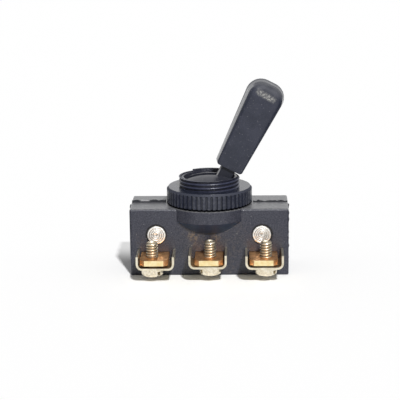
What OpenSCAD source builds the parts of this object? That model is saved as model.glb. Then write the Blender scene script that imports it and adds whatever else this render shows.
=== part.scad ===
// Panel toggle switch with three positions: a two-part moulded case, a paddle lever in a threaded neck
// with a ring nut, and three screw terminals along the front. The origin is on the base, under the middle
// of the neck. +X is to the right, +Y away from the terminals, +Z up the neck. Sizes are in millimetres.

/* [Case] */
// Width of the case
case_w = 46.5; // [45:0.5:52]
// Depth of the case, both halves together
case_d = 17.6; // [16.6:0.2:20]
// Height of the case
case_h = 20; // [19.6:0.2:22]
// Thickness of the case's walls
wall = 2; // [1.6:0.1:2.4]
// Radius of the case's outer edges
edge_r = 0.6; // [0.3:0.1:1]
// Width of the bevel along the parting line
parting_bevel = 0.15; // [0.05:0.05:0.3]

/* [Boss and neck] */
// Diameter of the boss under the nut
boss_dia = 25.8; // [25:0.2:28]
// Height of the boss's straight side, down from the case's top
boss_h = 3.7; // [3:0.1:4.5]
// Height and width of the bevel round the boss's underside
boss_taper = 3.4; // [2.4:0.1:4]
// Diameter of the neck's core, under its thread
neck_dia = 16.9; // [16.5:0.1:18]
// Height of the neck above the case
neck_h = 7.9; // [7.6:0.1:8.8]
// How far the rear of the neck's rim stands above the rest
lip_h = 0.8; // [0.4:0.1:1]
// Where that higher part starts, behind the neck's middle
lip_from = 6.4; // [5:0.2:7]
// Diameter of the neck's bore
bore_dia = 15.2; // [14.8:0.1:15.4]
// Height of the domed floor's crown above the rim
dome_rise = 0.8; // [0.2:0.1:1.2]
// Depth of the domed floor's edge below the rim
dome_drop = 0.9; // [0.5:0.1:1.4]
// Thickness of the domed floor at its edge
dome_t = 1; // [0.8:0.1:1.6]

/* [Ring nut] */
// Diameter over the knurl
nut_dia = 25.2; // [24:0.2:28]
// Height of the nut
nut_h = 5.1; // [4.4:0.1:5.2]
// Height of the smooth rim above the knurl
nut_rim_h = 0.6; // [0.4:0.1:1.2]
// Width of the rim's bevel
nut_bevel = 0.5; // [0.4:0.1:1.2]
// Height of the plain land under the knurl
nut_foot = 0.3; // [0.1:0.1:0.6]
// Number of knurl teeth
knurl_teeth = 54; // [40:2:64]
// Depth of the knurl
knurl_depth = 0.45; // [0.3:0.05:0.6]
// How far the smooth rim lies inside the knurl's crests
rim_in = 0.15; // [0.05:0.05:0.2]

/* [Lever] */
// Lean of the lever to the right at rest, in degrees
lever_tilt = 26.4; // [22:0.2:27]
// Depth of the pivot below the case's top
pivot_drop = 1.1; // [1.1:0.1:1.6]
// Diameter of the pivot pin
pin_dia = 1.6; // [1.4:0.1:1.8]
// Depth of the pin's seat in each half
pin_seat = 2.6; // [1.6:0.2:3]
// Width of the stem across the neck's slot
stem_w = 4.6; // [4:0.1:5]
// Thickness of the stem
stem_t = 2.6; // [2.2:0.1:3.2]
// Distance from the pivot to the paddle's shoulder
shoulder = 12.9; // [12.9:0.1:15]
// Distance from the pivot to the paddle's end
lever_reach = 40.5; // [34:0.1:46]
// Lean of the paddle to the right of its stem, in degrees
paddle_lean = 0.6; // [0:0.1:1]
// Width of the paddle at its shoulder, halfway through its thickness
paddle_w_low = 8.55; // [6.5:0.05:8.7]
// Width of the paddle at its end, halfway through its thickness
paddle_w_top = 10.9; // [9:0.05:12]
// Thickness of the paddle at its shoulder
paddle_t_low = 4.5; // [4:0.1:5.4]
// Thickness of the paddle near its end
paddle_t_top = 8; // [6:0.1:8.4]
// Draft of the paddle's sides, wider to the rear, in degrees
paddle_draft = 6; // [1:0.5:6]
// Radius of the paddle's end corners, halfway through its thickness
paddle_corner = 4.2; // [4:0.1:4.6]
// Radius of the paddle's edges
paddle_edge = 0.6; // [0.3:0.1:1.2]
// Radius of the paddle's front edge round its end
paddle_end_edge = 1.6; // [0.6:0.1:1.8]
// Diameter of the hub round the pin
hub_dia = 6.2; // [5:0.1:6.6]
// Width of the hub along the pin
hub_w = 10; // [7:0.2:10.6]
// Diameter of the foot that holds the plunger
foot_dia = 6.6; // [6:0.1:7.2]
// Distance from the pivot to the foot's end
foot_reach = 6.4; // [5.6:0.1:6.6]

/* [Plunger] */
// Diameter of the plunger
plunger_dia = 4.1; // [3.6:0.1:4.4]
// Travel of the plunger into the foot
plunger_travel = 1.2; // [0.8:0.1:1.4]
// Thickness of the plunger's tube
plunger_wall = 0.6; // [0.4:0.05:0.7]
// Thickness of the foot above the plunger's bore
foot_web = 0.75; // [0.5:0.05:1]
// Diameter of the spring wire
spring_wire = 0.4; // [0.3:0.05:0.5]
// Turns of the spring
spring_turns = 6; // [4:1:8]

/* [Contacts] */
// Distance between neighbouring terminals
terminal_pitch = 15.8; // [15.4:0.1:17]
// Width of each terminal tab
tab_w = 8.1; // [7:0.1:8.6]
// Thickness of the contact strips
tab_t = 1.6; // [1.2:0.1:1.8]
// Height of the strips' underside above the base
tab_z = 5.55; // [5.2:0.05:5.8]
// How far the tabs stand out of the case
tab_out = 9.7; // [8.6:0.1:12]
// Size of the bevels at the tabs' corners
tab_bevel = 1.3; // [0.6:0.1:1.8]
// How far the strips reach past the parting line inside
strip_in = 4; // [2.5:0.1:4.5]
// Distance of the contact points from the middle
button_x = 10.4; // [9.8:0.1:10.6]
// Diameter of the contact points
button_dia = 3.2; // [2.6:0.1:3.4]
// Height of the contact points
button_h = 1; // [0.8:0.1:1.2]
// Height of the ridge that the rocker tips on
ridge_h = 0.8; // [0.6:0.05:0.9]

/* [Rocker] */
// Thickness of the rocker strip
rocker_t = 0.8; // [0.6:0.05:1]
// Width of the rocker strip
rocker_w = 6; // [5:0.1:7]
// Tip of the rocker at rest, in degrees
rocker_tip = 6; // [4.5:0.1:6.6]
// Strip left outside each moving contact point
rocker_margin = 0.2; // [0.1:0.05:0.4]

/* [Wire clamps] */
// How far each screw stands to the right of the middle of its tab
screw_shift = [-0.7, 0.35, 0.7]; // [-0.8:0.05:0.8]
// Diameter of the terminal screws
screw_dia = 3.5; // [3:0.1:3.8]
// Distance of the screws from the case's face
screw_out = 4.8; // [4.4:0.1:5.2]
// Length of the screws under the head
screw_len = 7.2; // [6.4:0.1:8]
// Diameter of the screw heads
head_dia = 6.4; // [5.6:0.1:7]
// Height of the screw heads
head_h = 2.4; // [2:0.1:2.5]
// Width of the slot in the heads
slot_w = 1; // [0.8:0.1:1.2]
// Depth of the slot in the heads
slot_deep = 1; // [0.6:0.1:1.2]
// Width of each wire clip over its arms
clip_w = 11; // [10.4:0.1:11.4]
// Thickness of the clips
clip_t = 0.6; // [0.5:0.05:0.8]
// Outer radius of the clips' bends
clip_bend = 1.8; // [1.4:0.1:2.2]
// Height of the clips' arms
clip_h = 4; // [3.4:0.1:4.6]
// Depth of the clips along the tabs
clip_d = 9.4; // [7.8:0.1:9.6]
// Gap left for a wire between each clip and its tab
wire_gap = [0.73, 0.38, 0.58]; // [0.1:0.01:0.8]

/* [Rivets] */
// Distance of the rivets from the middle
rivet_x = 15.5; // [15.2:0.1:16.5]
// Height of the rivets above the base
rivet_z = 12.4; // [12:0.1:13]
// Diameter of the rivets
rivet_dia = 2.6; // [2:0.1:3]
// Diameter of the rivet heads
rivet_head = 5.2; // [4.6:0.1:5.4]
// Diameter of the recesses round the heads
recess_dia = 6; // [5.6:0.1:6.8]
// Depth of the recesses
recess_deep = 0.6; // [0.4:0.05:0.9]
// How far the heads stand out of the case's face
rivet_proud = 0.25; // [0.1:0.05:0.5]

/* [Clearances] */
// Clearance round anything that turns or slides in a hole
run_gap = 0.05; // [0.03:0.01:0.08]
// Clearance of the fixed pins and rivets in their holes
seat_gap = 0.02; // [0.01:0.01:0.04]
// Clearance of the strips in the case's slots
strip_gap = 0.1; // [0.05:0.05:0.2]
// Clearance on each side of the stem in the neck's slot
stem_gap = 0.2; // [0.15:0.05:0.3]
// Clearance between the plunger's tip and the rocker
cam_gap = 0.2; // [0.15:0.05:0.3]
// Clearance at contact points and at the rocker's ridge
touch_gap = 0.05; // [0.03:0.01:0.08]
// Clearance of the clips from the case's face
clip_gap = 0.15; // [0.1:0.05:0.3]

/* [Hidden] */
$fn = 64;
hull_fn = 36;
// How far a cutting shape runs past the face that it cuts
over = 1;

face_y = case_d / 2;
boss_r = boss_dia / 2;
boss_foot_r = boss_r - boss_taper;
neck_r = neck_dia / 2;
bore_r = bore_dia / 2;
rim_z = case_h + neck_h;
// The domed floor is part of a sphere through the crown and the edge
dome_sag = dome_rise + dome_drop;
dome_r = (bore_r * bore_r + dome_sag * dome_sag) / (2 * dome_sag);
dome_under = rim_z - dome_drop - dome_t;
rim_bevel = 0.25;

nut_r = nut_dia / 2;
// Where a tooth's root ends and its crest starts and ends, as shares of the pitch
knurl_steps = [0.25, 0.35, 0.9];
// How far the land under the knurl lies inside the teeth's roots
foot_in = 0.15;

pivot_z = case_h - pivot_drop;
pin_half = bore_r + pin_seat;
hub_r = hub_dia / 2;

// The screws stand in the tabs, and the clips hang on the screws' heads
terminals = [-1, 0, 1];
tab_top = tab_z + tab_t;
screw_y = -face_y - screw_out;
clip_y = -face_y - clip_gap - clip_d;
// Each loose clip hangs a little off the middle of its tab, and each screw stopped at a turn of its own
clip_shift = [0.35, -0.3, 0.25];
slot_turn = [-28, 25, -20];
clip_hole_gap = 0.2;
function tab_x(i) = terminals[i] * terminal_pitch;
function screw_x(i) = tab_x(i) + screw_shift[i];
function clip_x(i) = tab_x(i) + clip_shift[i];
function clip_top(i) = tab_z - wire_gap[i];
function head_top(i) = clip_top(i) - clip_t;

// The rocker tips about the top of the ridge, and its cradle follows the plunger's tip through the swing
ridge_z = tab_top + ridge_h;
tip_r = plunger_dia / 2;
tip_rise = rocker_t + cam_gap + tip_r;
tip_reach = pivot_z - ridge_z - tip_rise;
tip_rest = [-tip_reach * sin(lever_tilt), pivot_z - ridge_z - tip_reach * cos(lever_tilt)];
tip_in_rocker = [
    tip_rest.x * cos(rocker_tip) + tip_rest.y * sin(rocker_tip),
    tip_rest.y * cos(rocker_tip) - tip_rest.x * sin(rocker_tip)
];
tip_climb = tip_in_rocker.y - tip_rise;
path_r = (tip_in_rocker.x * tip_in_rocker.x + tip_climb * tip_climb) / (2 * tip_climb);
cradle_r = path_r + tip_r + cam_gap;
cradle_z = tip_rise + path_r;
// At rest the left moving point lies on the left fixed one
point_z = (button_h - ridge_h + touch_gap + button_x * sin(rocker_tip)) / cos(rocker_tip);
arm_z = point_z + button_h;
rocker_reach = button_x + button_dia / 2 + rocker_margin;
point_crown = 0.3;
// Where a crowned point bulges, as shares of its radius and its crown
point_bulge = [0.55, 0.3];
tail_dia = button_dia / 2;

// The plunger is a cup, with the spring between its floor and the end of the foot's bore
foot_bore_r = tip_r + run_gap;
foot_bore_end = pin_dia / 2 + run_gap + foot_web;
plunger_spare = 0.2;
plunger_top = foot_bore_end + plunger_travel + plunger_spare;
cup_r = tip_r - plunger_wall;
cup_floor = tip_reach - plunger_wall;
spring_gap = 0.05;
spring_r = cup_r - spring_wire / 2 - spring_gap;

strip_margin = 0.3;
strip_edge = button_x - button_dia / 2 - strip_margin;
pad_margin = 0.5;
pillar_wall = 1;
pillar_dia = rivet_dia + 2 * pillar_wall;

// The rivet heads: the bevel under the rim, the height of the rim's shoulder, and the rings that the
// forming tool leaves, each with its share of the head's radius and its depth below the rim
rivet_foot = 0.2;
rivet_shoulder = 0.3;
rivet_rings = [[0.86, 0], [0.66, 0], [0.58, 0.15], [0.36, 0.05], [0.26, 0.25], [0, 0.3]];

moulded = [0.20, 0.21, 0.24];
lever_black = [0.17, 0.18, 0.21];
copper = [0.72, 0.46, 0.26];
zinc = [0.86, 0.82, 0.66];
steel = [0.76, 0.75, 0.70];
silver = [0.84, 0.84, 0.83];
brass = [0.80, 0.64, 0.34];

// Flat outlines

module rounded_rect(size, r) {
    square([size.x - 2 * r, size.y], center = true);
    square([size.x, size.y - 2 * r], center = true);
    for (sx = [-1, 1], sy = [-1, 1])
        translate([sx * (size.x / 2 - r), sy * (size.y / 2 - r)])
            circle(r);
}

// A block with every edge rounded, centred in X and Y and standing on the base
module rounded_block(w, d, h, r) {
    intersection() {
        linear_extrude(h)
            rounded_rect([w, d], r);
        translate([0, d / 2, h / 2])
            rotate([90, 0, 0])
                linear_extrude(d)
                    rounded_rect([w, h], r);
        translate([-w / 2, 0, h / 2])
            rotate([90, 0, 90])
                linear_extrude(w)
                    rounded_rect([d, h], r);
    }
}

// Case

// The round boss that carries the nut, bevelled below where it stands out of the case's front and back
module boss() {
    edge_z = case_h - boss_h;
    rotate_extrude()
        polygon([
            [0, edge_z - boss_taper], [boss_foot_r, edge_z - boss_taper], [boss_r, edge_z], [boss_r, case_h],
            [0, case_h]
        ]);
}

// The neck's tube, closed by its domed floor
module neck() {
    translate([0, 0, case_h - wall])
        rotate_extrude()
            polygon([
                [bore_r, 0], [neck_r, 0], [neck_r, wall + neck_h - rim_bevel],
                [neck_r - rim_bevel, wall + neck_h], [bore_r, wall + neck_h]
            ]);
    rotate_extrude()
        intersection() {
            translate([0, rim_z + dome_rise - dome_r])
                circle(dome_r);
            translate([0, dome_under])
                square([bore_r + rim_bevel, dome_t + dome_sag]);
        }
}

// The rear of the neck's rim, which stands higher than the rest
module rim_lip() {
    intersection() {
        translate([0, 0, rim_z - wall])
            rotate_extrude()
                translate([bore_r, 0])
                    square([neck_r - bore_r - rim_bevel, wall + lip_h]);
        translate([-neck_r, lip_from, rim_z - wall - over])
            cube([neck_dia, neck_r, wall + lip_h + 2 * over]);
    }
}

// The slot in the domed floor that the lever's stem swings along
module stem_slot() {
    intersection() {
        translate([-bore_r, -stem_t / 2 - stem_gap, dome_under - over])
            cube([bore_dia, stem_t + 2 * stem_gap, dome_t + dome_sag + 2 * over]);
        translate([0, 0, dome_under - over])
            cylinder(h = dome_t + dome_sag + 2 * over, r = bore_r);
    }
}

module inner_space() {
    translate([-case_w / 2 + wall, -face_y + wall, wall])
        cube([case_w - 2 * wall, case_d - 2 * wall, case_h - 2 * wall]);
    translate([0, 0, case_h - wall - over])
        cylinder(h = dome_under - case_h + wall + over, r = bore_r);
}

// Blocks on the floor that carry the contact strips
module strip_pads() {
    for (i = [0 : 2])
        translate([tab_x(i) - tab_w / 2 + pad_margin, -face_y + wall / 2, wall / 2])
            cube([tab_w - 2 * pad_margin, case_d - wall, tab_z - wall / 2]);
}

module rivet_pillars() {
    for (side = [-1, 1])
        translate([side * rivet_x, face_y - wall / 2, rivet_z])
            rotate([90, 0, 0])
                cylinder(h = case_d - wall, d = pillar_dia);
}

module rivet_holes() {
    for (side = [-1, 1])
        translate([side * rivet_x, 0, rivet_z])
            rotate([90, 0, 0]) {
                cylinder(h = case_d + 2 * over, d = rivet_dia + 2 * seat_gap, center = true);
                for (end = [-1, 1])
                    translate([0, 0, end * (face_y - recess_deep / 2 + over / 2)])
                        cylinder(h = recess_deep + over, d = recess_dia, center = true);
            }
}

module pin_hole() {
    translate([0, 0, pivot_z])
        rotate([90, 0, 0])
            cylinder(h = 2 * pin_half, d = pin_dia + 2 * seat_gap, center = true);
}

// Room for the strips, from the front of the case to their inner ends
module strip_slots() {
    for (i = [0 : 2])
        translate([tab_x(i) - tab_w / 2 - strip_gap, -face_y - over, tab_z])
            cube([tab_w + 2 * strip_gap, face_y + over + strip_in + strip_gap, tab_t + strip_gap]);
}

// A shallow groove along the parting line, up the sides and over the top of the case
module parting_groove() {
    kept_h = case_h - parting_bevel + over;
    difference() {
        translate([0, parting_bevel, case_h / 2])
            rotate([90, 0, 0])
                linear_extrude(2 * parting_bevel)
                    square([case_w + 2 * over, case_h + 2 * over], center = true);
        translate([0, parting_bevel + over, kept_h / 2 - over])
            rotate([90, 0, 0])
                linear_extrude(2 * parting_bevel + 2 * over)
                    rounded_rect([case_w - 2 * parting_bevel, kept_h], edge_r);
        cylinder(h = 3 * case_h, r = neck_r, center = true);
    }
}

// One half of the case, on the given side of the parting line
module housing_half(side) {
    difference() {
        union() {
            difference() {
                union() {
                    rounded_block(case_w, case_d, case_h, edge_r);
                    boss();
                }
                inner_space();
                parting_groove();
            }
            neck();
            rim_lip();
            strip_pads();
            rivet_pillars();
        }
        stem_slot();
        pin_hole();
        rivet_holes();
        strip_slots();
        translate([-case_w, side > 0 ? -2 * case_d : 0, -over])
            cube([2 * case_w, 2 * case_d, rim_z + dome_rise + 2 * over]);
    }
}

module housing_front() {
    color(moulded)
        housing_half(-1);
}

module housing_rear() {
    color(moulded)
        housing_half(1);
}

// Rivets: a shank with a spun head at each end, ringed by the forming tool

module rivet_head_shape() {
    ring_r = rivet_head / 2;
    rise = recess_deep + rivet_proud;
    polygon([
        [0, 0], [ring_r - rivet_foot, 0], [ring_r, rivet_foot], [ring_r, rise - rivet_shoulder],
        for (ring = rivet_rings)
            [ring_r * ring[0], rise - ring[1]]
    ]);
}

module rivet(x) {
    color(silver)
        translate([x, 0, rivet_z])
            rotate([90, 0, 0]) {
                cylinder(h = case_d - 2 * recess_deep, d = rivet_dia, center = true);
                for (end = [0, 180])
                    rotate([end, 0, 0])
                        translate([0, 0, face_y - recess_deep])
                            rotate_extrude()
                                rivet_head_shape();
            }
}

module rivet_left() {
    rivet(-rivet_x);
}

module rivet_right() {
    rivet(rivet_x);
}

// Ring nut: a knurled band under a smooth bevelled rim

module knurl_outline() {
    pitch = 360 / knurl_teeth;
    root = nut_r - knurl_depth;
    tooth = [[0, root], [knurl_steps[0], root], [knurl_steps[1], nut_r], [knurl_steps[2], nut_r]];
    polygon([
        for (i = [0 : knurl_teeth - 1], corner = tooth)
            let (a = (i + corner.x) * pitch)
                corner.y * [cos(a), sin(a)]
    ]);
}

module ring_nut() {
    bore = neck_r + run_gap;
    band_h = nut_h - nut_rim_h;
    color(moulded)
        translate([0, 0, case_h])
            difference() {
                union() {
                    cylinder(h = band_h, r = nut_r - knurl_depth - foot_in);
                    translate([0, 0, nut_foot])
                        linear_extrude(band_h - nut_foot)
                            knurl_outline();
                    translate([0, 0, band_h])
                        cylinder(h = nut_rim_h, r1 = nut_r - rim_in, r2 = nut_r - nut_bevel);
                }
                translate([0, 0, -over])
                    cylinder(h = nut_h + 2 * over, r = bore);
            }
}

// Lever: modelled upright about its pivot, then leaned over

module leaned() {
    translate([0, 0, pivot_z])
        rotate([0, lever_tilt, 0])
            children();
}

// How far the paddle's sides lie outside their middle line, at a distance behind the middle of its thickness
function drafted(behind) = behind * tan(paddle_draft);

// A disc with rounded rims, standing on edge across the paddle, wider to the rear and softer in front
module paddle_disc(r, t) {
    rotate([90, 0, 0])
        rotate_extrude($fn = hull_fn)
            hull() {
                translate([0, -t / 2])
                    square([r / 2, t]);
                for (rim = [[-1, paddle_edge], [1, paddle_end_edge]])
                    let (z = rim[0] * (t / 2 - rim[1]))
                        translate([r + drafted(-z) - rim[1], z])
                            circle(rim[1], $fn = hull_fn);
            }
}

// The paddle's outline at its shoulder, drawn in by the given margin at each side
module paddle_low(margin) {
    inner = paddle_t_low / 2 - paddle_edge;
    for (side = [-1, 1], y = [-inner, inner])
        translate([side * (paddle_w_low / 2 + drafted(y) - paddle_edge - margin), y])
            circle(paddle_edge, $fn = hull_fn);
}

module paddle() {
    low_h = 0.2;
    low_bevel = 0.45;
    hull() {
        for (margin = [0, low_bevel])
            translate([0, 0, shoulder + low_bevel - margin])
                linear_extrude(low_h)
                    paddle_low(margin);
        for (side = [-1, 1])
            translate([side * (paddle_w_top / 2 - paddle_corner), 0, lever_reach - paddle_corner])
                paddle_disc(paddle_corner, paddle_t_top);
    }
}

module lever() {
    stem_edge = 0.5;
    color(lever_black)
        leaned()
            difference() {
                union() {
                    rotate([0, paddle_lean, 0])
                        paddle();
                    linear_extrude(shoulder + over)
                        rounded_rect([stem_w, stem_t], stem_edge);
                    rotate([90, 0, 0])
                        cylinder(h = hub_w, r = hub_r, center = true);
                    translate([0, 0, -foot_reach])
                        cylinder(h = foot_reach, d = foot_dia);
                }
                rotate([90, 0, 0])
                    cylinder(h = hub_w + 2 * over, d = pin_dia + 2 * run_gap, center = true);
                translate([0, 0, -foot_reach - over])
                    cylinder(h = foot_reach + over - foot_bore_end, r = foot_bore_r);
            }
}

module pivot_pin() {
    color(steel)
        translate([0, 0, pivot_z])
            rotate([90, 0, 0])
                cylinder(h = 2 * pin_half - 2 * seat_gap, d = pin_dia, center = true);
}

// Plunger: a cup with a ball-shaped nose

module plunger() {
    color(brass)
        leaned()
            rotate_extrude()
                difference() {
                    union() {
                        translate([0, -tip_reach])
                            square([tip_r, tip_reach - plunger_top]);
                        intersection() {
                            translate([0, -tip_reach])
                                circle(tip_r);
                            translate([0, -2 * tip_reach])
                                square([tip_r, 2 * tip_reach]);
                        }
                    }
                    translate([0, -cup_floor])
                        square([cup_r, cup_floor]);
                }
}

// Points of a ring round the wire's path, at turn t of the coil
function coil_ring(t, r, wire, rise, sides) = [
    for (k = [0 : sides - 1])
        let (a = 360 * k / sides, out = r + wire / 2 * cos(a))
            [out * cos(360 * t), out * sin(360 * t), rise * t + wire / 2 * sin(a)]
];

module coil(r, wire, turns, length) {
    sides = 8;
    turn_steps = 20;
    steps = turn_steps * turns;
    rise = (length - wire) / turns;
    points = [
        for (i = [0 : steps])
            each coil_ring(i / turn_steps, r, wire, rise, sides)
    ];
    walls = [
        for (i = [0 : steps - 1], k = [0 : sides - 1])
            let (a = i * sides + k, b = i * sides + (k + 1) % sides)
                each [[a, a + sides, b], [b, a + sides, b + sides]]
    ];
    low_cap = [for (k = [0 : sides - 1]) k];
    top_cap = [for (k = [sides - 1 : -1 : 0]) steps * sides + k];
    polyhedron(points, concat(walls, [low_cap, top_cap]));
}

module plunger_spring() {
    length = cup_floor - foot_bore_end - 2 * spring_gap;
    color(steel)
        leaned()
            translate([0, 0, -cup_floor + spring_gap + spring_wire / 2])
                coil(spring_r, spring_wire, spring_turns, length);
}

// Rocker: a strip with a round cradle for the plunger, tipped on the centre contact's ridge

module tipped() {
    translate([0, 0, ridge_z])
        rotate([0, -rocker_tip, 0])
            children();
}

module rocker_outline() {
    difference() {
        union() {
            translate([-rocker_reach, arm_z])
                square([2 * rocker_reach, rocker_t]);
            intersection() {
                translate([0, cradle_z])
                    circle(cradle_r + rocker_t);
                translate([-rocker_reach, 0])
                    square([2 * rocker_reach, arm_z + rocker_t]);
            }
        }
        translate([0, cradle_z])
            circle(cradle_r);
    }
}

module rocker() {
    color(brass)
        tipped()
            difference() {
                translate([0, rocker_w / 2, 0])
                    rotate([90, 0, 0])
                        linear_extrude(rocker_w)
                            rocker_outline();
                for (side = [-1, 1])
                    translate([side * button_x, 0, arm_z - over])
                        cylinder(h = rocker_t + 2 * over, d = tail_dia + 2 * seat_gap);
            }
}

// A contact rivet with its face at the origin and its tail in a strip of the given thickness
module contact_rivet(strip, crown) {
    r = button_dia / 2;
    color(silver) {
        rotate_extrude()
            polygon([
                [0, 0], [r * point_bulge.x, crown * point_bulge.y], [r, crown], [r, button_h], [0, button_h]
            ]);
        cylinder(h = button_h + strip, d = tail_dia);
    }
}

module rocker_button(side) {
    tipped()
        translate([side * button_x, 0, point_z])
            contact_rivet(rocker_t, point_crown);
}

module rocker_button_left() {
    rocker_button(-1);
}

module rocker_button_right() {
    rocker_button(1);
}

// Contact strips: a tab with bevelled corners outside, and the contact's seat inside

module tab_outline(x) {
    front = -face_y - tab_out;
    translate([x, 0])
        polygon([
            [-tab_w / 2, strip_in], [-tab_w / 2, front + tab_bevel], [-tab_w / 2 + tab_bevel, front],
            [tab_w / 2 - tab_bevel, front], [tab_w / 2, front + tab_bevel], [tab_w / 2, strip_in]
        ]);
}

module strip(i) {
    color(copper)
        translate([0, 0, tab_z])
            difference() {
                linear_extrude(tab_t) {
                    tab_outline(tab_x(i));
                    children();
                }
                translate([screw_x(i), screw_y, -over])
                    cylinder(h = tab_t + 2 * over, d = screw_dia + 2 * run_gap);
                for (side = [-1, 1])
                    translate([side * button_x, 0, -over])
                        cylinder(h = tab_t + 2 * over, d = tail_dia + 2 * seat_gap);
            }
}

// The outer strips reach in towards the middle under the rocker's points
module outer_strip(i) {
    near = strip_edge;
    far = terminal_pitch + tab_w / 2;
    lip_y = -face_y + wall + strip_gap;
    strip(i)
        translate([terminals[i] > 0 ? near : -far, lip_y])
            square([far - near, strip_in - lip_y]);
}

module contact_left() {
    outer_strip(0);
}

module contact_right() {
    outer_strip(2);
}

module contact_center() {
    ridge_r = ridge_h - touch_gap;
    strip(1);
    color(copper)
        translate([0, rocker_w / 2, tab_top])
            rotate([90, 0, 0])
                linear_extrude(rocker_w)
                    intersection() {
                        circle(ridge_r);
                        translate([-ridge_r, -tab_t / 2])
                            square([2 * ridge_r, tab_t / 2 + ridge_r]);
                    }
}

module contact_button(side) {
    translate([side * button_x, 0, tab_top + button_h])
        mirror([0, 0, 1])
            contact_rivet(tab_t, 0);
}

module contact_button_left() {
    contact_button(-1);
}

module contact_button_right() {
    contact_button(1);
}

// Wire clips: U-shaped, open at the top, with a long hole for the screw

module clip_outline() {
    inner = clip_bend - clip_t;
    full = 2 * (clip_h + clip_bend);
    intersection() {
        difference() {
            translate([0, full / 2])
                rounded_rect([clip_w, full], clip_bend);
            translate([0, full / 2])
                rounded_rect([clip_w - 2 * clip_t, full - 2 * clip_t], inner);
        }
        translate([-clip_w / 2, 0])
            square([clip_w, clip_h]);
    }
}

module saddle(i) {
    hole_r = screw_dia / 2 + clip_hole_gap;
    reach = screw_x(i) - clip_x(i);
    color(zinc)
        translate([clip_x(i), clip_y + clip_d, head_top(i)])
            difference() {
                rotate([90, 0, 0])
                    linear_extrude(clip_d)
                        clip_outline();
                translate([0, screw_y - clip_y - clip_d, -over])
                    linear_extrude(clip_t + 2 * over) {
                        for (x = [0, reach])
                            translate([x, 0])
                                circle(hole_r);
                        translate([min(0, reach), -hole_r])
                            square([abs(reach), 2 * hole_r]);
                    }
            }
}

module saddle_left() {
    saddle(0);
}

module saddle_center() {
    saddle(1);
}

module saddle_right() {
    saddle(2);
}

// Terminal screws: a rounded cheese head below, slotted, and a shank with a bevelled end

module screw(i) {
    head_r = head_dia / 2;
    shank_r = screw_dia / 2;
    head_round = 0.8;
    point = 0.4;
    color(steel)
        translate([screw_x(i), screw_y, head_top(i)])
            difference() {
                rotate_extrude() {
                    translate([0, -head_h])
                        square([head_r - head_round, head_h]);
                    translate([0, head_round - head_h])
                        square([head_r, head_h - head_round]);
                    translate([head_r - head_round, head_round - head_h])
                        circle(head_round);
                    polygon([
                        [0, -head_h / 2], [shank_r, -head_h / 2], [shank_r, screw_len - point],
                        [shank_r - point, screw_len], [0, screw_len]
                    ]);
                }
                rotate([0, 0, slot_turn[i]])
                    translate([-head_dia, -slot_w / 2, -head_h - over])
                        cube([2 * head_dia, slot_w, over + slot_deep]);
            }
}

module screw_left() {
    screw(0);
}

module screw_center() {
    screw(1);
}

module screw_right() {
    screw(2);
}

housing_front();
housing_rear();
rivet_left();
rivet_right();
ring_nut();
lever();
pivot_pin();
plunger();
plunger_spring();
rocker();
rocker_button_left();
rocker_button_right();
contact_left();
contact_center();
contact_right();
contact_button_left();
contact_button_right();
saddle_left();
saddle_center();
saddle_right();
screw_left();
screw_center();
screw_right();
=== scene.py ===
import math

import bpy
from mathutils import Matrix, Vector


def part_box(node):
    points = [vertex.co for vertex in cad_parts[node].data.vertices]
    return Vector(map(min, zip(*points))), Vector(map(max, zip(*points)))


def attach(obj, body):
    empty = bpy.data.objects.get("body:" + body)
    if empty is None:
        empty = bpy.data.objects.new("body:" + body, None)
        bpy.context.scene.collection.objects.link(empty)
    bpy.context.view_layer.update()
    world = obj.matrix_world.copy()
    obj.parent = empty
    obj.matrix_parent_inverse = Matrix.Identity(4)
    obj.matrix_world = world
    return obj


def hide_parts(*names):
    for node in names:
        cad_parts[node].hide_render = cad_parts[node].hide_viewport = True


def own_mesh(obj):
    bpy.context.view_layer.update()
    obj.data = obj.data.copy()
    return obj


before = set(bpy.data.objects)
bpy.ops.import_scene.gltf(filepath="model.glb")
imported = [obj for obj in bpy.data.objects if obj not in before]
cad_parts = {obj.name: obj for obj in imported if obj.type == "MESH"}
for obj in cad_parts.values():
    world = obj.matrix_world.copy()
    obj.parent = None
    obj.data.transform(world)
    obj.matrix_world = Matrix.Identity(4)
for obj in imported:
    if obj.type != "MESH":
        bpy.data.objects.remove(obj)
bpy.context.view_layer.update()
bpy.context.scene.view_settings.view_transform = "Standard"


# Case: two halves pressed from black phenolic powder, each with half of the boss, the neck and the domed
# mouth. The mould leaves a fine grain and a slight gloss, pale dust lies in patches on top, and brown
# stains have crept out under the boss. Painted light and shade: an even pale sheen over the whole top, a
# dark ring in the recess round each rivet, a darker inside to the mouth, and a blue-grey tone painted on
# the boss's underside for the shade on its slope.
MM = 0.001


class Paint:
    """A socket in a node tree. Arithmetic on it adds Math nodes, and node() adds any other node."""

    def __init__(self, tree, socket=None):
        self.tree = tree
        self.socket = socket

    def node(self, kind, settings=None, inputs=None, output=0):
        made = self.tree.nodes.new("ShaderNode" + kind)
        for name, value in (settings or {}).items():
            setattr(made, name, value)
        for name, value in (inputs or {}).items():
            if isinstance(value, Paint):
                self.tree.links.new(value.socket, made.inputs[name])
            else:
                made.inputs[name].default_value = value
        return Paint(self.tree, made.outputs[output])

    def math(self, operation, *others):
        return self.node("Math", {"operation": operation}, dict(enumerate((self, *others))))

    def __add__(self, other):
        return self.math("ADD", other)

    def __sub__(self, other):
        return self.math("SUBTRACT", other)

    def __rsub__(self, other):
        return self.math("MULTIPLY_ADD", -1, other)

    def __mul__(self, other):
        return self.math("MULTIPLY", other)

    __radd__ = __add__
    __rmul__ = __mul__


def new_finish(name, **constants):
    """A material with its constants set, its shader, and the place on the piece in millimetres."""
    material = bpy.data.materials.new(name)
    material.use_nodes = True
    tree = material.node_tree
    shader = tree.nodes["Principled BSDF"]
    for socket, value in constants.items():
        shader.inputs[socket.replace("_", " ")].default_value = value
    place = Paint(tree).node("TexCoord", output="Object")
    place = place.node("VectorMath", {"operation": "SCALE"}, {0: place, "Scale": 1 / MM})
    return material, shader, place


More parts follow.
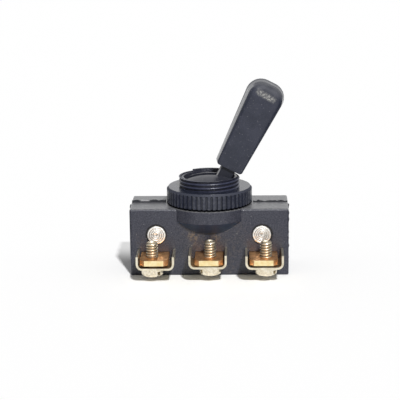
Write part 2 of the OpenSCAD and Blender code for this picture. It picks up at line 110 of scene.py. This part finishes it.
def feed(shader, **sockets):
    for name, paint in sockets.items():
        paint.tree.links.new(paint.socket, shader.inputs[name.replace("_", " ")])


def noise(place, scale, detail=2.0, roughness=0.5, distortion=0.0):
    sockets = {"Vector": place, "Scale": scale, "Detail": detail, "Roughness": roughness,
               "Distortion": distortion}
    return place.node("TexNoise", None, sockets)


def step(value, low, high):
    """0 below low and 1 above high, with a smooth change between; low above high turns it round."""
    sockets = {"Value": value, "From Min": low, "From Max": high}
    return value.node("MapRange", {"interpolation_type": "SMOOTHSTEP"}, sockets)


def mix(share, first, second):
    first, second = ((*shade, 1) if isinstance(shade, tuple) else shade for shade in (first, second))
    return share.node("Mix", {"data_type": "RGBA"}, {0: share, 6: first, 7: second}, 2)


def stretched(place, x, y, z):
    return place.node("Mapping", None, {"Vector": place, "Scale": (x, y, z)})


def xyz(place):
    return [place.node("SeparateXYZ", None, {0: place}, axis) for axis in range(3)]


def distance(place, point):
    return place.node("VectorMath", {"operation": "DISTANCE"}, {0: place, 1: point}, 1)


def specks(place, per_mm, size, share):
    """Scattered round specks of a size in millimetres, thinned out to a share of their cells."""
    cells = place.node("TexVoronoi", None, {"Vector": place, "Scale": per_mm})
    thinned = step(noise(place, 1.7, 1.0), 1 - share, 1.2 - share)
    return step(cells, size * per_mm, size * per_mm * 0.5) * thinned


def bump(height, depth_mm):
    return height.node("Bump", None, {"Height": height, "Distance": depth_mm * MM})


def dress(material, *nodes):
    for name in nodes:
        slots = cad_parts[name].data.materials
        slots.clear()
        slots.append(material)


case_finish, shader, place = new_finish("case_moulding", IOR=1.5)
y, z = xyz(place)[1:]
case_top = 20.0
front_y = -8.8
boss_low = 16.3
boss_foot_r = 9.5
mouth_r = 7.6
recess_r = 3.0
out = distance(stretched(place, 1, 1, 0), (0, 0, 0))
grain = noise(place, 2.6, 4.0, 0.75)
colour = mix(step(grain, 0.36, 0.64), (0.012, 0.014, 0.025), (0.049, 0.050, 0.067))
# Painted shade: the boss's downward-sloping underside is given a blue-grey tone of its own.
boss_underside_shade = step(out, boss_foot_r - 0.05, boss_foot_r + 0.1) * step(z, boss_low + 0.05, boss_low - 0.1)
boss_underside_shade = boss_underside_shade * step(y, front_y - 0.02, front_y - 0.1)
colour = mix(boss_underside_shade * 0.8, colour, (0.030, 0.050, 0.092))
# Painted shade: the inside of the mouth is darkened.
mouth_shade = step(out, mouth_r + 0.05, mouth_r - 0.1) * step(z, case_top + 5.0, case_top + 5.5)
colour = mix(mouth_shade * 0.6, colour, (0.010, 0.011, 0.018))
on_top = step(z, case_top - 0.2, case_top - 0.05) * step(z, case_top + 0.4, case_top + 0.1)
patches = noise(place, 1.1, 4.0, 0.7)
# Pale dust in patches on the top, over an even pale tone on the whole top that is painted sheen.
dust_and_sheen = on_top * (0.2 + step(patches * 0.6 + grain * 0.4, 0.40, 0.64) * 0.4)
colour = mix(dust_and_sheen, colour, (0.31, 0.31, 0.31))
on_front = step(y, front_y + 0.2, front_y + 0.05) * step(y, front_y - 0.2, front_y - 0.05)
smear = stretched(place, 1.5, 1, 0.8)
left_stain = step(distance(smear, (-6.9, front_y, 9.6)), 3.2, 0.4)
right_stain = step(distance(smear, (3.0, front_y, 9.2)), 2.6, 0.4) * 0.6
blotch = noise(place, 0.9, 4.0, 0.65)
stain = on_front * (left_stain + right_stain) * step(blotch, 0.43, 0.63)
colour = mix(stain * 0.55, colour, (0.24, 0.165, 0.09))
mottle = step(blotch * 0.5 + grain * 0.5, 0.48, 0.62)
haze = on_front * step(distance(smear, (1.0, front_y, 7.6)), 19.0, 9.0) * mottle
colour = mix(haze * 0.3, colour, (0.135, 0.105, 0.072))
# Painted shade: a dark ring on the case in the recess round each rivet.
for side in ("left", "right"):
    middle = sum(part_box("rivet_" + side), Vector()) / 2 / MM
    off_rivet = distance(stretched(place, 1, 0, 1), (middle.x, 0, middle.z))
    colour = mix(step(off_rivet, recess_r + 0.3, recess_r) * 0.85, colour, (0.004, 0.004, 0.006))
speck = specks(place, 1.1, 0.17, 0.5)
colour = mix(speck * 0.9, colour, (0.30, 0.297, 0.293))
feed(shader, Base_Color=colour, Roughness=0.24 + grain * 0.14 + dust_and_sheen * 0.08 + stain * 0.2,
     Normal=bump(grain + speck * 0.4, 0.04))
dress(case_finish, "housing_rear", "housing_front")


# Seam flash: where the two halves meet, the pressing has squeezed out a thin fin of the same material. It
# stands ragged along the top on each side of the neck, pale where flakes have broken off, and shows as
# small bumps down the ends.
def edit_all(piece):
    """Starts to edit one piece with all of it selected."""
    bpy.ops.object.select_all(action="DESELECT")
    bpy.context.view_layer.objects.active = piece
    piece.select_set(True)
    bpy.ops.object.mode_set(mode="EDIT")
    bpy.ops.mesh.select_mode(type="VERT")
    bpy.ops.mesh.select_all(action="SELECT")


def drawn_line(name, points, closed=False):
    """A line drawn by extruding one vertex from point to point, in millimetres."""
    bpy.ops.object.select_all(action="DESELECT")
    bpy.ops.mesh.primitive_plane_add(size=MM, location=(0, 0, 0))
    piece = bpy.context.object
    piece.name = name
    edit_all(piece)
    bpy.ops.mesh.merge(type="CENTER")
    bpy.ops.transform.translate(value=Vector(points[0]) * MM)
    for start, end in zip(points, points[1:]):
        move = (Vector(end) - Vector(start)) * MM
        bpy.ops.mesh.extrude_region_move(TRANSFORM_OT_translate={"value": move})
    if closed:
        bpy.ops.mesh.select_all(action="SELECT")
        bpy.ops.mesh.edge_face_add()
        bpy.ops.mesh.delete(type="ONLY_FACE")
    bpy.ops.object.mode_set(mode="OBJECT")
    return piece


def apply_modifier(piece, kind, **settings):
    modifier = piece.modifiers.new(kind.lower(), kind)
    for name, value in settings.items():
        setattr(modifier, name, value)
    bpy.ops.object.select_all(action="DESELECT")
    bpy.context.view_layer.objects.active = piece
    piece.select_set(True)
    bpy.ops.object.modifier_apply(modifier=modifier.name)


def face_outward(piece):
    """Merges doubled points, takes out slivers and turns every face outward."""
    edit_all(piece)
    bpy.ops.mesh.remove_doubles(threshold=0.005 * MM)
    bpy.ops.mesh.dissolve_degenerate(threshold=0.001 * MM)
    bpy.ops.mesh.normals_make_consistent(inside=False)
    bpy.ops.object.mode_set(mode="OBJECT")


def join(*pieces):
    """Joins pieces into the first of them."""
    bpy.ops.object.select_all(action="DESELECT")
    for piece in pieces:
        piece.select_set(True)
    bpy.context.view_layer.objects.active = pieces[0]
    bpy.ops.object.join()
    return pieces[0]


def own(piece, body, material):
    """Gives a finished piece its finish and the body that carries it."""
    piece.data.materials.clear()
    piece.data.materials.append(material)
    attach(piece, body)


flash_finish, shader, place = new_finish("seam_flash", IOR=1.5)
crumble = noise(place, 3.0, 4.0, 0.7)
x, _, z = xyz(place)
flake_x = -19.2
flake = step((x - flake_x).math("ABSOLUTE"), 1.7, 0.9) * step(z, case_top + 0.3, case_top + 0.45)
flake = flake * step(crumble, 0.3, 0.45)
colour = mix(crumble, (0.006, 0.007, 0.010), (0.030, 0.031, 0.038))
feed(shader, Base_Color=mix(flake * 0.9, colour, (0.42, 0.42, 0.43)), Roughness=0.6 + crumble * 0.3,
     Normal=bump(crumble, 0.05))
ragged = bpy.data.textures.new("flash_raggedness", "CLOUDS")
ragged.noise_scale = 0.0013
half_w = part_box("housing_front")[1].x / MM
flash_from_x = 12.95
flash_deep = 0.6
flash_thick = 0.14
flash_waver = 0.3


def flash_strip(name, start, end, outward, standing, uneven):
    """A strip along the seam from start to end, with its root in the case and an uneven outer edge."""
    strip = drawn_line(name, [start, end])
    edit_all(strip)
    bpy.ops.mesh.subdivide(number_cuts=70)
    bpy.ops.mesh.extrude_region_move(TRANSFORM_OT_translate={"value": Vector(outward) * standing * MM})
    bpy.ops.object.mode_set(mode="OBJECT")
    axis = "Z" if outward[2] else "X"
    rough = {"texture": ragged, "texture_coords": "LOCAL"}
    apply_modifier(strip, "DISPLACE", direction=axis, strength=uneven * MM, **rough)
    apply_modifier(strip, "DISPLACE", direction="Y", strength=flash_waver * MM, **rough)
    apply_modifier(strip, "SOLIDIFY", thickness=flash_thick * MM, offset=0)
    return strip


for name, side, standing, uneven in (("seam_flash_left", -1, 1.35, 0.7), ("seam_flash_right", 1, 1.0, 0.8)):
    root_z = case_top - flash_deep
    end_x = side * (half_w - 0.5)
    neck_end = (side * flash_from_x, 0, root_z)
    corner = (end_x + side * 0.3, 0, root_z)
    top = flash_strip(name, neck_end, corner, (0, 0, 1), standing, uneven)
    down = flash_strip(name + "_end", (end_x, 0, root_z), (end_x, 0, flash_deep), (side, 0, 0), 0.75, 1.0)
    face_outward(join(top, down))
    own(top, "housing", flash_finish)


# Neck thread: a right-hand ridge moulded round the neck up to its rim, a fine 18 mm panel thread for the
# ring nut. Its crests are rounded and shiny where the nut has rubbed them, and its roots are painted
# darker as shade.
thread_finish, shader, place = new_finish("neck_thread", IOR=1.5)
neck_core = 8.45
thread_crest = 9.0
thread_pitch = 1.13
thread_turns = 7
thread_from_z = 20.635
rim_z = 27.9
rim_rise = 0.2
cut_tolerance = 0.0001 * MM
out = distance(stretched(place, 1, 1, 0), (0, 0, 0))
rub = noise(place, 1.6, 3.0)
# Painted shade: the thread's roots are darker.
shaded_groove = step(out, thread_crest - 0.15, thread_crest - 0.4)
colour = mix(step(rub, 0.35, 0.7), (0.013, 0.016, 0.036), (0.028, 0.032, 0.060))
feed(shader, Base_Color=mix(shaded_groove * 0.8, colour, (0.005, 0.006, 0.016)),
     Roughness=0.26 + rub * 0.12 + shaded_groove * 0.3, Normal=bump(noise(place, 6.0, 3.0), 0.012))
ridge = drawn_line("neck_thread", [
    (neck_core - 0.1, 0, -0.46), (neck_core + 0.17, 0, -0.40), (thread_crest - 0.14, 0, -0.27),
    (thread_crest - 0.03, 0, -0.12), (thread_crest, 0, 0), (thread_crest - 0.03, 0, 0.12),
    (thread_crest - 0.14, 0, 0.27), (neck_core + 0.17, 0, 0.40), (neck_core - 0.1, 0, 0.46)
], closed=True)
apply_modifier(ridge, "SCREW", angle=math.tau, screw_offset=thread_pitch * MM, iterations=thread_turns,
               steps=72, render_steps=72, use_merge_vertices=True, merge_threshold=0.01 * MM)
edit_all(ridge)
bpy.ops.mesh.select_all(action="DESELECT")
bpy.ops.mesh.select_mode(type="EDGE")
bpy.ops.mesh.select_non_manifold()
bpy.ops.mesh.edge_face_add()
bpy.ops.mesh.select_all(action="SELECT")
bpy.ops.transform.translate(value=(0, 0, thread_from_z * MM))
bpy.ops.mesh.bisect(plane_co=(0, 0, (rim_z + rim_rise) * MM), plane_no=(0, 0, 1), use_fill=True,
                    clear_outer=True, threshold=cut_tolerance)
bpy.ops.object.mode_set(mode="OBJECT")
face_outward(ridge)
bpy.ops.object.shade_smooth_by_angle(angle=math.radians(50))
own(ridge, "housing", thread_finish)


# Contact strips: punched from copper alloy, with the corners of the tabs nipped off. The flat faces have
# gone brown, the sheared front edges are still bright, and the nipped corners are painted a darker brown
# as shade. The case's front half traps them in its slots.
strip_finish, shader, place = new_finish("strip_copper", Metallic=1.0)
y, z = xyz(place)[1:]
tab_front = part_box("contact_center")[0].y / MM
tab_top = 7.15
tarnish = noise(place, 0.8, 4.0, 0.6)
scratches = noise(stretched(place, 6.0, 0.5, 6.0), 1.0, 2.0)
sheared = step(y, tab_front + 0.08, tab_front + 0.02)
# Painted shade: the nipped corners of the tabs are a darker brown.
nipped_corner_shade = step(y, tab_front + 1.45, tab_front + 1.1) * step(z, tab_top - 0.02, tab_top - 0.05)
worn = step(tarnish * 0.7 + scratches * 0.3, 0.32, 0.68)
colour = mix(worn, (0.52, 0.255, 0.105), (0.92, 0.55, 0.26))
colour = mix(nipped_corner_shade * 0.6, colour, (0.60, 0.36, 0.20))
edge = mix(step(tarnish, 0.3, 0.7), (0.88, 0.68, 0.32), (0.94, 0.82, 0.51))
colour = mix(sheared, colour, edge)
feed(shader, Base_Color=colour, Roughness=0.30 + tarnish * 0.25 - sheared * 0.05,
     Normal=bump(scratches, 0.012))
dress(strip_finish, "contact_left", "contact_center", "contact_right")


# Contact points: small rivets of contact silver, headed into the strips and into the rocker, and dulled by
# the switching.
point_finish, shader, place = new_finish("contact_silver", Metallic=1.0)
dull = noise(place, 2.5, 3.0)
feed(shader, Base_Color=mix(dull, (0.72, 0.72, 0.71), (0.86, 0.86, 0.85)), Roughness=0.25 + dull * 0.3,
     Normal=bump(dull, 0.01))
dress(point_finish, "contact_button_left", "contact_button_right", "rocker_button_left",
      "rocker_button_right")


# Rocker, plunger, spring and pin: the works inside. The rocker is pressed from brass strip and the plunger
# turned from brass rod. The pin is drawn steel rod, driven into both halves, and the spring is coiled wire
# with its seat in the lever.
brass_finish, shader, place = new_finish("works_brass", Metallic=1.0)
rolled = noise(stretched(place, 0.4, 5.0, 5.0), 1.0, 3.0)
feed(shader, Base_Color=mix(rolled, (0.62, 0.43, 0.18), (0.80, 0.62, 0.32)),
     Roughness=0.25 + rolled * 0.25, Normal=bump(rolled, 0.01))
dress(brass_finish, "rocker", "plunger")
works_steel, shader, place = new_finish("works_steel", Metallic=1.0)
drawn = noise(stretched(place, 6.0, 0.4, 6.0), 1.0, 2.0)
feed(shader, Base_Color=mix(drawn, (0.48, 0.48, 0.49), (0.66, 0.66, 0.66)), Roughness=0.28 + drawn * 0.2,
     Normal=bump(drawn, 0.008))
dress(works_steel, "pivot_pin", "plunger_spring")
lean = math.radians(26.4)
along = Vector((math.sin(lean), 0, math.cos(lean)))
plunger_travel = 1.2 * MM
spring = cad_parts["plunger_spring"]
coils = [spring.matrix_world @ vertex.co for vertex in spring.data.vertices]
spring_seat = max(coils, key=along.dot)
spring_long = along.dot(spring_seat) - min(along.dot(point) for point in coils)
1 - plunger_travel / spring_long
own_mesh(spring)


# Lever: one moulding in a darker, smoother plastic, with a flat paddle above the neck, a stem through the
# slot and a hub on the pin. Fingers have polished its sides, its end is worn pale and scuffed in front, and
# the sides are duller at the rear, behind the line where the mould's halves met. The stem below the paddle
# is painted nearly black as the paddle's shadow, with a painted pale reflection along its left edge.
lever_finish, shader, place = new_finish("lever_moulding", IOR=1.5)
pivot_z = 18.9
upright = place.node("VectorRotate", {"rotation_type": "Y_AXIS"},
                     {"Vector": place, "Center": (0, 0, pivot_z), "Angle": -lean})
across, behind, up = xyz(upright)
up = up - pivot_z
paddle_foot = 12.9
grain = noise(place, 3.6, 3.0, 0.6)
cloud = noise(place, 0.25, 2.0)
colour = mix(step(grain * 0.5 + cloud * 0.5, 0.35, 0.65), (0.009, 0.012, 0.025), (0.023, 0.026, 0.044))
worn_end = step(up, 37.0, 40.6) * step(grain * 0.4 + cloud * 0.6, 0.2, 0.6)
colour = mix(worn_end * 0.3, colour, (0.14, 0.14, 0.14))
scuff_up = 37.4
scuff_off = (up - scuff_up + across * 0.07).math("ABSOLUTE")
scuff_band = step(scuff_off, 1.3, 0.2) * step((across - 0.1).math("ABSOLUTE"), 3.6, 2.0)
scuff_band = scuff_band * step(behind, -0.5, -1.5)
blotch = step(noise(upright, 1.5, 3.0, 0.7), 0.46, 0.64)
scuff = scuff_band * blotch
colour = mix(scuff_band * 0.17 + scuff * 0.6, colour, (0.47, 0.46, 0.43))
speck = specks(place, 1.2, 0.15, 0.65)
colour = mix(speck * 0.6, colour, (0.15, 0.15, 0.16))
half_width = (up - paddle_foot) * 0.0425 + 4.05
side = step(across.math("ABSOLUTE") - half_width, 0.0, 0.15)
polished = side * step(behind, 1.8, 1.0) * step(up, 38.5, 36.0)
dull_rear = step(behind, 1.4, 2.2)
end_edge = step(up, 38.0, 39.2) * step(behind, 1.0, -1.5)
stem = step(up, paddle_foot + 0.05, paddle_foot - 0.05)
# Painted shadow: the stem below the paddle is nearly black, standing in for the paddle's shadow.
colour = mix(stem * 0.9, colour, (0.003, 0.004, 0.011))
# Painted reflection: a pale line along the stem's left edge.
colour = mix(stem * step(across, -1.95, -2.1), colour, (0.30, 0.30, 0.31))
roughness = 0.20 + grain * 0.10 + scuff * 0.3 + dull_rear * 0.25 + stem * 0.3 + end_edge * 0.45
feed(shader, Base_Color=colour, Roughness=roughness - polished * 0.12,
     Normal=bump(grain + scuff * 0.8, 0.018))
dress(lever_finish, "lever")


# Rivets: bright metal rod, put through both halves and spun over into a broad, flat head at each end. The
# forming tool has left rings on the heads, with painted shade darkening their grooves in patches, and the
# front heads sit a little low in their recesses.
rivet_finish, shader, place = new_finish("rivet_metal", Metallic=1.0)
wobble = noise(place, 1.6, 3.0)
ring_floor = 9.0
# Painted shade: the rings' grooves are darker brown in patches.
ring_groove_shade = step(xyz(place)[1].math("ABSOLUTE"), ring_floor + 0.03, ring_floor - 0.03)
colour = mix(step(wobble, 0.3, 0.7), (0.74, 0.72, 0.68), (0.93, 0.91, 0.88))
feed(shader, Base_Color=mix(ring_groove_shade * step(wobble, 0.3, 0.6) * 0.8, colour, (0.24, 0.21, 0.17)),
     Roughness=0.36 + wobble * 0.2, Normal=bump(wobble, 0.12))


def turned(name, points, steps):
    """A solid turned from its outline, which starts and ends on the axis."""
    piece = drawn_line(name, points)
    apply_modifier(piece, "SCREW", angle=math.tau, screw_offset=0, iterations=1, steps=steps,
                   render_steps=steps, use_merge_vertices=True, merge_threshold=0.005 * MM)
    face_outward(piece)
    return piece


def place_at(piece, x, y, z, turn_x=0.0):
    """Turns a piece about X, moves it to a place in millimetres, and applies both."""
    bpy.ops.object.select_all(action="DESELECT")
    bpy.context.view_layer.objects.active = piece
    piece.select_set(True)
    piece.rotation_euler.x = turn_x
    piece.location = Vector((x, y, z)) * MM
    bpy.ops.object.transform_apply(location=True, rotation=True, scale=True)


rivet_r = 1.3
head_rise = 0.85
head_drop = 0.13
head_outline = [
    (0, 0, 0), (2.62, 0, 0), (2.7, 0, 0.1), (2.7, 0, head_rise - 0.15), (2.62, 0, head_rise - 0.04),
    (2.5, 0, head_rise)
]
for ring in (2.05, 1.5, 0.95):
    head_outline.append((ring + 0.14, 0, head_rise))
    head_outline.append((ring, 0, head_rise - 0.12))
    head_outline.append((ring - 0.14, 0, head_rise - 0.01))
head_outline += [(0.45, 0, head_rise - 0.02), (0, 0, head_rise - 0.16)]
for side, head_x in (("left", 0.08), ("right", -0.12)):
    low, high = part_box("rivet_" + side)
    middle = (low + high) / 2 / MM
    seat_y = high.y / MM - head_rise
    rod = [(0, 0, -seat_y), (rivet_r, 0, -seat_y), (rivet_r, 0, seat_y), (0, 0, seat_y)]
    rivet = turned("spun_rivet_" + side, rod, 32)
    place_at(rivet, middle.x, 0, middle.z, math.pi / 2)
    front = turned("rivet_front", head_outline, 64)
    place_at(front, middle.x + head_x, -seat_y, middle.z - head_drop, math.pi / 2)
    rear = turned("rivet_rear", head_outline, 64)
    place_at(rear, middle.x, seat_y, middle.z, -math.pi / 2)
    join(rivet, front, rear)
    bpy.ops.object.shade_smooth_by_angle(angle=math.radians(25))
    own(rivet, "housing", rivet_finish)
    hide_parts("rivet_" + side)


# Ring nut: moulded in the same phenolic as the case, with a knurled band to grip and a smooth bevelled rim.
# It clamps the panel against the case's top. The teeth are rubbed and darker between them, and a black band
# of painted shadow lies along its lower edge, for the gap above the case.
nut_finish, shader, place = new_finish("nut_moulding", IOR=1.5)
z = xyz(place)[2]
nut_r = 12.6
nut_top = 25.1
teeth_top = 24.5
out = distance(stretched(place, 1, 1, 0), (0, 0, 0))
grain = noise(place, 3.6, 3.0, 0.6)
cloud = noise(place, 0.3, 3.0)
colour = mix(step(grain * 0.5 + cloud * 0.5, 0.35, 0.65), (0.012, 0.015, 0.028), (0.024, 0.027, 0.044))
rubbed = step(out, nut_r - 0.15, nut_r - 0.02) * step(noise(place, 1.3, 3.0), 0.4, 0.7)
colour = mix(rubbed * 0.5, colour, (0.075, 0.078, 0.092))
# The roots between the teeth are darker.
tooth_roots = step(out, nut_r - 0.2, nut_r - 0.4) * step(z, teeth_top + 0.1, teeth_top - 0.1)
colour = mix(tooth_roots * 0.4, colour, (0.006, 0.007, 0.010))
bevel = step(z, teeth_top - 0.2, teeth_top - 0.1) * step(z, nut_top - 0.01, nut_top - 0.05)
feed(shader, Base_Color=colour, Roughness=0.15 + grain * 0.12 + tooth_roots * 0.3 + bevel * 0.5,
     Normal=bump(grain, 0.018))
tree = nut_finish.node_tree
# Painted shadow: a black matte band along the nut's lower edge stands in for the shadow of the gap above the
# case.
painted_gap_shadow = place.node("BsdfDiffuse", None, {"Color": (0.002, 0.002, 0.003, 1)})
gap_shadow_band = step(z, case_top + 0.7, case_top + 0.5) * step(out, nut_r - 1.1, nut_r - 0.9)
both = place.node("MixShader", None, {0: gap_shadow_band, 1: Paint(tree, shader.outputs[0]), 2: painted_gap_shadow})
tree.links.new(both.socket, tree.nodes["Material Output"].inputs["Surface"])
dress(nut_finish, "ring_nut")


# Wire clips: bent from zinc-plated steel strip into an open box that hangs on the screw's head. The plating
# has a pale yellow cast, cloudy and faintly brushed.
clip_finish, shader, place = new_finish("clip_zinc", Metallic=1.0)
spangle = noise(place, 0.9, 4.0, 0.6)
brushed = noise(stretched(place, 5.0, 0.6, 5.0), 1.0, 2.0)
feed(shader, Base_Color=mix(step(spangle, 0.3, 0.7), (0.64, 0.57, 0.42), (0.84, 0.79, 0.64)),
     Roughness=0.26 + spangle * 0.2, Normal=bump(brushed + spangle * 0.5, 0.012))
dress(clip_finish, "saddle_left", "saddle_center", "saddle_right")


# Terminal screws: slotted cheese-head machine screws, yellow zinc on steel, with a rolled thread and a
# cupped end. They go in from below through the clip, and old grease lies in their grooves and cups.
screw_finish, shader, place = new_finish("screw_steel", Metallic=1.0)
z = xyz(place)[2]
screw_r = 1.8
screw_root = 1.38
screw_pitch = 0.8
head_r = 3.2
cad_head_h = 2.4
head_h = 2.7
slot_w = 1.0
slot_deep = 1.7
screws = {"left": -50, "center": 38, "right": -40}
middles = [sum(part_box("screw_" + side), Vector()) / 2 / MM for side in screws]
flat_place = stretched(place, 1, 1, 0)
out = [distance(flat_place, (middle.x, middle.y, 0)) for middle in middles]
radius = out[0].math("MINIMUM", out[1]).math("MINIMUM", out[2])
plate = noise(place, 1.1, 4.0, 0.6)
on_shank = step(z, 4.6, 4.9)
grease = on_shank * step(radius, 1.70, 1.50) * step(radius, 1.15, 1.25) * step(plate, 0.2, 0.5)
colour = mix(step(plate, 0.3, 0.7), (0.68, 0.60, 0.45), (0.92, 0.85, 0.70))
feed(shader, Base_Color=mix(grease * 0.7, colour, (0.16, 0.115, 0.06)),
     Roughness=0.20 + plate * 0.14 + grease * 0.25, Normal=bump(plate, 0.010))


def terminal_screw(side, slot_turn):
    low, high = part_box("screw_" + side)
    length = (high.z - low.z) / MM - cad_head_h
    turns = math.ceil(length / screw_pitch) + 3
    shank = drawn_line("terminal_screw_" + side, [
        (screw_root, 0, 0), (screw_root + 0.03, 0, screw_pitch * 0.12),
        (screw_r - 0.04, 0, screw_pitch * 0.38), (screw_r, 0, screw_pitch * 0.5),
        (screw_r - 0.04, 0, screw_pitch * 0.62), (screw_root + 0.03, 0, screw_pitch * 0.88),
        (screw_root, 0, screw_pitch)
    ])
    apply_modifier(shank, "SCREW", angle=math.tau, screw_offset=screw_pitch * MM, iterations=turns,
                   steps=40, render_steps=40, use_merge_vertices=True, merge_threshold=0.005 * MM)
    edit_all(shank)
    bpy.ops.mesh.remove_doubles(threshold=0.005 * MM)
    bpy.ops.transform.translate(value=(0, 0, -screw_pitch * 1.8 * MM))
    for cut_z, lower in ((-0.6, True), (length + 0.3, False)):
        bpy.ops.mesh.select_all(action="SELECT")
        bpy.ops.mesh.bisect(plane_co=(0, 0, cut_z * MM), plane_no=(0, 0, 1), use_fill=True,
                            clear_inner=lower, clear_outer=not lower, threshold=cut_tolerance)
    bpy.ops.object.mode_set(mode="OBJECT")
    face_outward(shank)
    limits = turned("shank_limits", [
        (0, 0, -0.4), (2.2, 0, -0.4), (2.2, 0, length - 0.75), (1.42, 0, length), (1.22, 0, length),
        (0.95, 0, length - 0.35), (0, 0, length - 0.42)
    ], 48)
    apply_modifier(shank, "BOOLEAN", object=limits, operation="INTERSECT", solver="EXACT")
    bpy.data.objects.remove(limits)
    head = turned("screw_head", [
        (0, 0, -head_h), (2.2, 0, -head_h + 0.03), (2.72, 0, -head_h + 0.14), (3.02, 0, -head_h + 0.36),
        (3.16, 0, -head_h + 0.68), (head_r, 0, -head_h + 1.0), (head_r, 0, -0.12),
        (head_r - 0.12, 0, 0), (0, 0, 0)
    ], 64)
    bpy.ops.object.select_all(action="DESELECT")
    bpy.ops.mesh.primitive_cube_add(size=MM, location=(0, 0, -head_h * MM),
                                    rotation=(0, 0, math.radians(slot_turn)))
    cutter = bpy.context.object
    cutter.scale = (3 * head_r, slot_w, 2 * slot_deep)
    bpy.ops.object.transform_apply(location=True, rotation=True, scale=True)
    apply_modifier(head, "BOOLEAN", object=cutter, operation="DIFFERENCE", solver="EXACT")
    bpy.data.objects.remove(cutter)
    face_outward(join(shank, head))
    middle = (low + high) / 2 / MM
    place_at(shank, middle.x, middle.y, low.z / MM + cad_head_h)
    bpy.ops.object.shade_smooth_by_angle(angle=math.radians(35))
    own(shank, "clamp_" + side, screw_finish)
    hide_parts("screw_" + side)


for side, slot_turn in screws.items():
    terminal_screw(side, slot_turn)


# Floor and light: a plain white sheet, one fairly hard lamp from the front, right and above, and a white
# room that is darker to the left and right, which the curved sides of the boss and the nut mirror. Behind
# the object the sheet has a white glow of painted light, seen by the camera only, that fades its shadow
# where the lit wall would fill it.
bpy.ops.object.select_all(action="DESELECT")
bpy.ops.mesh.primitive_plane_add(size=6.0, location=(0, 0, -0.00002))
floor = bpy.context.object
floor.name = "floor"
floor_white = bpy.data.materials.new("floor_white")
floor_white.use_nodes = True
tree = floor_white.node_tree
shader = tree.nodes["Principled BSDF"]
shader.inputs["Roughness"].default_value = 0.9
shader.inputs["Specular IOR Level"].default_value = 0.0


def ray(tree, kind):
    return Paint(tree).node("LightPath", output="Is %s Ray" % kind)


def to_the_side(tree, coordinates):
    """1 to the left and right of the object, and 0 in front of it and behind it."""
    way = Paint(tree).node("TexCoord", output=coordinates)
    way = way.node("VectorMath", {"operation": "NORMALIZE"}, {0: way})
    return step(xyz(way)[0].math("ABSOLUTE"), 0.5, 0.8)


seen = ray(tree, "Camera").math("MAXIMUM", ray(tree, "Glossy"))
seen = seen.math("MAXIMUM", ray(tree, "Transmission"))
spot = Paint(tree).node("TexCoord", output="Object")
away = step(distance(spot, (0, 0, 0)), 35 * MM, 60 * MM)
mirrored_side = ray(tree, "Glossy") * to_the_side(tree, "Object") * away
colour = mix(seen, (0.85, 0.85, 0.85), (1, 1, 1))
feed(shader, Base_Color=mix(mirrored_side, colour, (0.25, 0.25, 0.25)))
# Painted light: a white glow, seen by the camera only, fades the floor's shadow behind the object.
fade = ray(tree, "Camera") * step(xyz(spot)[1], 6 * MM, 24 * MM) * 0.6
painted_fill_glow = spot.node("Emission", None, {"Color": (1, 1, 1, 1)})
faded = spot.node("MixShader", None, {0: fade, 1: Paint(tree, shader.outputs[0]), 2: painted_fill_glow})
tree.links.new(faded.socket, tree.nodes["Material Output"].inputs["Surface"])
floor.data.materials.append(floor_white)

world = bpy.data.worlds.new("white_room")
bpy.context.scene.world = world
world.use_nodes = True
room = world.node_tree.nodes["Background"]
room.inputs["Color"].default_value = (1, 1, 1, 1)
tree = world.node_tree
room_light = 0.28
white = 1 - room_light
mirrored = ray(tree, "Glossy") * (white - to_the_side(tree, "Generated") * 0.5)
shown = ray(tree, "Camera").math("MAXIMUM", ray(tree, "Transmission")) * white
feed(room, Strength=shown + mirrored + room_light)

lamp = bpy.data.objects.new("key_lamp", bpy.data.lights.new("key_lamp", "SUN"))
lamp.data.energy = 3.3
lamp.data.angle = math.radians(3.5)
lamp_turn = math.radians(16.5)
lamp_rise = math.radians(43)
lamp_flat = math.cos(lamp_rise)
toward_lamp = Vector((math.sin(lamp_turn) * lamp_flat, -math.cos(lamp_turn) * lamp_flat, math.sin(lamp_rise)))
lamp.rotation_mode = "QUATERNION"
lamp.rotation_quaternion = toward_lamp.to_track_quat("Z", "Y")
bpy.context.scene.collection.objects.link(lamp)


# Camera: where the photograph was taken from, about 40 cm in front and a little above.
camera = bpy.data.objects.new("camera", bpy.data.cameras.new("camera"))
camera.data.sensor_width = 36
camera.data.lens = 126
camera.data.clip_start = 0.01
pitch, yaw, roll = (math.radians(angle) for angle in (13.565, -1.809, -0.736))
ahead = Vector((math.sin(yaw) * math.cos(pitch), math.cos(yaw) * math.cos(pitch), -math.sin(pitch)))
level = ahead.cross(Vector((0, 0, 1))).normalized()
above = level.cross(ahead)
right = math.cos(roll) * level + math.sin(roll) * above
upward = math.cos(roll) * above - math.sin(roll) * level
turn = Matrix((right, upward, -ahead)).transposed().to_4x4()
camera.matrix_world = Matrix.Translation((0.00994, -0.40404, 0.11818)) @ turn
bpy.context.scene.collection.objects.link(camera)
bpy.context.scene.camera = camera
